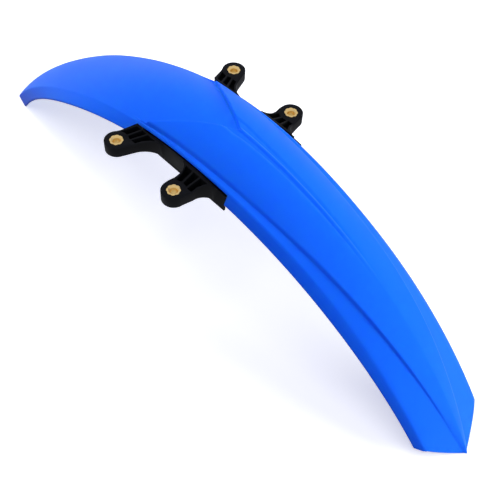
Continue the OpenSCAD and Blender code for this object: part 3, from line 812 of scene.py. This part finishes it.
# Four zinc-plated flange-head screws go up through the beams into the blade's bosses. They are cold
# headed, with a cross recess.
screw_edge = 0.15
steel = metal("zinc_plated_steel", (0.55, 0.56, 0.58), roughness=0.35)
screws = softened_copy(screw_names[0], "screws", steel, screw_edge, segments=2, limit_degrees=30)
screws.data.transform(Matrix.Translation(-box_middle(screw_names[0])))
set_in_four_places(screws, screw_names, steel, sharp_degrees=40)
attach(screws, "root")
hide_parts(*screw_names)

# The mudguard stands on its two ends on a sheet of white paper. The paper looks brighter away from the
# mudguard, up to plain white, and throws little light back up at it.
paper_half = 6
paper_under_view = (0.9, 0.9, 0.72, 1)
paper_under_light = (0.15, 0.15, 0.15, 1)
glow_near = 0.5
glow_far = 1.0
near_reach = 0.5
far_reach = 2.0

paper = bpy.data.materials.new("paper")
paper.use_nodes = True
nodes, links = paper.node_tree.nodes, paper.node_tree.links
nodes.clear()
path = nodes.new("ShaderNodeLightPath")
shade = nodes.new("ShaderNodeMix")
shade.data_type = "RGBA"
shade.inputs["A"].default_value = paper_under_light
shade.inputs["B"].default_value = paper_under_view
links.new(path.outputs["Is Camera Ray"], shade.inputs["Factor"])
matt = nodes.new("ShaderNodeBsdfDiffuse")
links.new(shade.outputs["Result"], matt.inputs["Color"])
place = nodes.new("ShaderNodeNewGeometry")
away = nodes.new("ShaderNodeVectorMath")
away.operation = "LENGTH"
links.new(place.outputs["Position"], away.inputs[0])
brighter = nodes.new("ShaderNodeMapRange")
brighter.inputs["From Min"].default_value = near_reach
brighter.inputs["From Max"].default_value = far_reach
brighter.inputs["To Min"].default_value = glow_near
brighter.inputs["To Max"].default_value = glow_far
links.new(away.outputs["Value"], brighter.inputs["Value"])
shown = math_node(nodes, "MAXIMUM")
links.new(path.outputs["Is Camera Ray"], shown.inputs[0])
links.new(path.outputs["Is Glossy Ray"], shown.inputs[1])
strength = math_node(nodes, "MULTIPLY")
links.new(shown.outputs["Value"], strength.inputs[0])
links.new(brighter.outputs["Result"], strength.inputs[1])
glow = nodes.new("ShaderNodeEmission")
links.new(strength.outputs["Value"], glow.inputs["Strength"])
both = nodes.new("ShaderNodeAddShader")
links.new(matt.outputs["BSDF"], both.inputs[0])
links.new(glow.outputs["Emission"], both.inputs[1])
surface = nodes.new("ShaderNodeOutputMaterial")
links.new(both.outputs["Shader"], surface.inputs["Surface"])

floor_mesh = bpy.data.meshes.new("paper")
corners = [(-1, -1), (1, -1), (1, 1), (-1, 1)]
floor_mesh.from_pydata([(x * paper_half, y * paper_half, cad_low.z) for x, y in corners], [],
                       [(0, 1, 2, 3)])
floor_mesh.materials.append(paper)
in_scene("paper", floor_mesh)

# The camera sees a white room, and reflections show about two thirds of its white, but it lights the
# mudguard only with a dim blue
room_white = (1, 1, 1, 1)
room_light = (0.01, 0.03, 0.42, 1)
reflected_share = 0.65

room = bpy.data.worlds.new("white_room")
bpy.context.scene.world = room
room.use_nodes = True
nodes, links = room.node_tree.nodes, room.node_tree.links
path = nodes.new("ShaderNodeLightPath")
reflected = math_node(nodes, "MULTIPLY")
reflected.inputs[1].default_value = reflected_share
links.new(path.outputs["Is Glossy Ray"], reflected.inputs[0])
shown = math_node(nodes, "MAXIMUM")
links.new(path.outputs["Is Camera Ray"], shown.inputs[0])
links.new(reflected.outputs["Value"], shown.inputs[1])
white = nodes.new("ShaderNodeMix")
white.data_type = "RGBA"
white.inputs["A"].default_value = room_light
white.inputs["B"].default_value = room_white
links.new(shown.outputs["Value"], white.inputs["Factor"])
links.new(white.outputs["Result"], nodes["Background"].inputs["Color"])


# Four soft boxes light the mudguard: a large one above, two ahead of the nose and one behind the tail.
# None of them shows in reflections.
def soft_box(name, offset, size, watts):
    """A round lamp, set off from the middle of the mudguard and turned towards it."""
    data = bpy.data.lights.new(name, "AREA")
    data.shape = "DISK"
    data.size = size
    data.energy = watts
    lamp = in_scene(name, data)
    lamp.visible_glossy = False
    lamp.location = (cad_low + cad_high) / 2 + Vector(offset)
    lamp.rotation_euler = Vector(offset).to_track_quat("Z", "Y").to_euler()


soft_box("above", (0.1, -0.45, 1.5), size=1.2, watts=13)
soft_box("far_ahead", (1.3, 0.7, 0.6), size=0.8, watts=18)
soft_box("ahead", (1.5, 0.9, 0.2), size=0.8, watts=5)
soft_box("behind", (-1.25, 0.2, 0.75), size=0.8, watts=10)

# The photograph's camera stands ahead of the mudguard on its right, looks down and leans a little
camera_place = (0.3672, -0.3309, 0.4884)
camera_turn = 42.36
camera_height = 53.65
camera_lean = 4.73
camera_lens = 55.44
turn, height, lean = (math.radians(v) for v in (camera_turn, camera_height, camera_lean))
back = Vector((math.sin(turn) * math.cos(height), -math.cos(turn) * math.cos(height), math.sin(height)))
level_right = Vector((math.cos(turn), math.sin(turn), 0))
level_up = back.cross(level_right)
right = math.cos(lean) * level_right + math.sin(lean) * level_up
up = math.cos(lean) * level_up - math.sin(lean) * level_right
camera_data = bpy.data.cameras.new("camera")
camera_data.lens = camera_lens
camera_data.clip_start = 0.01
camera = in_scene("camera", camera_data)
camera.matrix_world = Matrix((right, up, back)).transposed().to_4x4()
camera.location = camera_place
bpy.context.scene.camera = camera
bpy.context.scene.view_settings.view_transform = "Standard"
